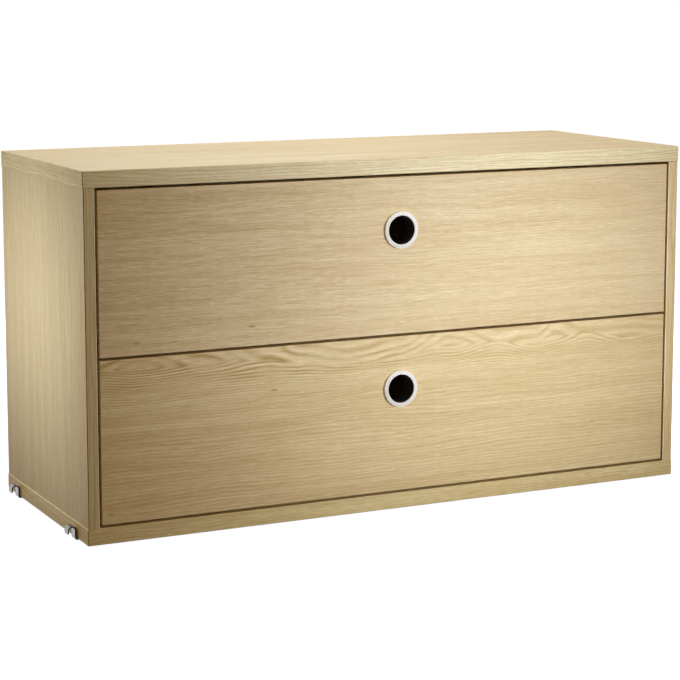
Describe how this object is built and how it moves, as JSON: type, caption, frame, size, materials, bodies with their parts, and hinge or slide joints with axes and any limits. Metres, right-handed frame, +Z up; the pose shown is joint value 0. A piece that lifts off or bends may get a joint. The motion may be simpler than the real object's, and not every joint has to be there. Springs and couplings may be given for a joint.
{
  "type": "hanging drawer chest",
  "caption": "Hanging oak-veneered chest with flush drawers on roller runners, ringed finger holes, and bent strip hooks that sit on ladder rungs at both ends.",
  "frame": {"origin": "under the middle of the chest, level with the underside of the hook feet", "axes": "+X to the right seen from the front, +Y to the back, +Z up; the drawers open towards -Y"},
  "size_m": [0.802, 0.303, 0.42],
  "materials": {
    "oak_veneer": "clear matt lacquer on oak veneer",
    "birch_plywood": "sanded and lacquered",
    "beech_dowel": "plain",
    "pale_plastic": "moulded satin",
    "black_plastic": "moulded matt",
    "coated_steel": "powder coat",
    "zinc_plated_steel": "bright zinc plate",
    "nylon": "moulded"
  },
  "bodies": {
    "case": {"top_panel": "oak_veneer", "bottom_panel": "oak_veneer", "left_side_panel": "oak_veneer", "right_side_panel": "oak_veneer", "back_panel": "oak_veneer", "case_dowels": "beech_dowel", "front_left_hook": "zinc_plated_steel", "front_right_hook": "zinc_plated_steel", "rear_left_hook": "zinc_plated_steel", "rear_right_hook": "zinc_plated_steel", "hook_screws": "zinc_plated_steel", "lower_left_case_rail": "coated_steel", "lower_right_case_rail": "coated_steel", "upper_left_case_rail": "coated_steel", "upper_right_case_rail": "coated_steel", "case_rail_screws": "zinc_plated_steel", "case_rail_rivets": "zinc_plated_steel"},
    "lower_drawer": {"lower_drawer_front": "oak_veneer", "lower_left_drawer_side": "birch_plywood", "lower_right_drawer_side": "birch_plywood", "lower_drawer_back": "birch_plywood", "lower_drawer_bottom": "birch_plywood", "lower_drawer_dowels": "beech_dowel", "lower_finger_ring": "pale_plastic", "lower_finger_liner": "black_plastic", "lower_left_drawer_rail": "coated_steel", "lower_right_drawer_rail": "coated_steel", "lower_drawer_rail_screws": "zinc_plated_steel", "lower_drawer_rail_rivets": "zinc_plated_steel"},
    "lower_left_front_roller": {"lower_left_front_roller": "nylon"},
    "lower_left_rear_roller": {"lower_left_rear_roller": "nylon"},
    "lower_right_front_roller": {"lower_right_front_roller": "nylon"},
    "lower_right_rear_roller": {"lower_right_rear_roller": "nylon"},
    "upper_drawer": {"upper_drawer_front": "oak_veneer", "upper_left_drawer_side": "birch_plywood", "upper_right_drawer_side": "birch_plywood", "upper_drawer_back": "birch_plywood", "upper_drawer_bottom": "birch_plywood", "upper_drawer_dowels": "beech_dowel", "upper_finger_ring": "pale_plastic", "upper_finger_liner": "black_plastic", "upper_left_drawer_rail": "coated_steel", "upper_right_drawer_rail": "coated_steel", "upper_drawer_rail_screws": "zinc_plated_steel", "upper_drawer_rail_rivets": "zinc_plated_steel"},
    "upper_left_front_roller": {"upper_left_front_roller": "nylon"},
    "upper_left_rear_roller": {"upper_left_rear_roller": "nylon"},
    "upper_right_front_roller": {"upper_right_front_roller": "nylon"},
    "upper_right_rear_roller": {"upper_right_rear_roller": "nylon"}
  },
  "joints": [
    {"name": "lower_drawer_slide", "type": "slide", "parent": "case", "child": "lower_drawer", "axis": [0, -1, 0], "range_m": [0, 0.19]},
    {"name": "lower_left_front_roller_spin", "type": "hinge", "parent": "case", "child": "lower_left_front_roller", "pos_m": [-0.37105, -0.1145, 0.0416], "axis": [1, 0, 0], "continuous": true},
    {"name": "lower_left_rear_roller_spin", "type": "hinge", "parent": "lower_drawer", "child": "lower_left_rear_roller", "pos_m": [-0.36865, 0.1065, 0.0399], "axis": [1, 0, 0], "continuous": true},
    {"name": "lower_right_front_roller_spin", "type": "hinge", "parent": "case", "child": "lower_right_front_roller", "pos_m": [0.37105, -0.1145, 0.0416], "axis": [1, 0, 0], "continuous": true},
    {"name": "lower_right_rear_roller_spin", "type": "hinge", "parent": "lower_drawer", "child": "lower_right_rear_roller", "pos_m": [0.36865, 0.1065, 0.0399], "axis": [1, 0, 0], "continuous": true},
    {"name": "upper_drawer_slide", "type": "slide", "parent": "case", "child": "upper_drawer", "axis": [0, -1, 0], "range_m": [0, 0.19]},
    {"name": "upper_left_front_roller_spin", "type": "hinge", "parent": "case", "child": "upper_left_front_roller", "pos_m": [-0.37105, -0.1145, 0.23035], "axis": [1, 0, 0], "continuous": true},
    {"name": "upper_left_rear_roller_spin", "type": "hinge", "parent": "upper_drawer", "child": "upper_left_rear_roller", "pos_m": [-0.36865, 0.1065, 0.22865], "axis": [1, 0, 0], "continuous": true},
    {"name": "upper_right_front_roller_spin", "type": "hinge", "parent": "case", "child": "upper_right_front_roller", "pos_m": [0.37105, -0.1145, 0.23035], "axis": [1, 0, 0], "continuous": true},
    {"name": "upper_right_rear_roller_spin", "type": "hinge", "parent": "upper_drawer", "child": "upper_right_rear_roller", "pos_m": [0.36865, 0.1065, 0.22865], "axis": [1, 0, 0], "continuous": true}
  ],
  "couplings": [
    {"joint": "lower_left_front_roller_spin", "follows": "lower_drawer_slide", "rad_per_m": 111.11},
    {"joint": "lower_left_rear_roller_spin", "follows": "lower_drawer_slide", "rad_per_m": 111.11},
    {"joint": "lower_right_front_roller_spin", "follows": "lower_drawer_slide", "rad_per_m": 111.11},
    {"joint": "lower_right_rear_roller_spin", "follows": "lower_drawer_slide", "rad_per_m": 111.11},
    {"joint": "upper_left_front_roller_spin", "follows": "upper_drawer_slide", "rad_per_m": 111.11},
    {"joint": "upper_left_rear_roller_spin", "follows": "upper_drawer_slide", "rad_per_m": 111.11},
    {"joint": "upper_right_front_roller_spin", "follows": "upper_drawer_slide", "rad_per_m": 111.11},
    {"joint": "upper_right_rear_roller_spin", "follows": "upper_drawer_slide", "rad_per_m": 111.11}
  ]
}
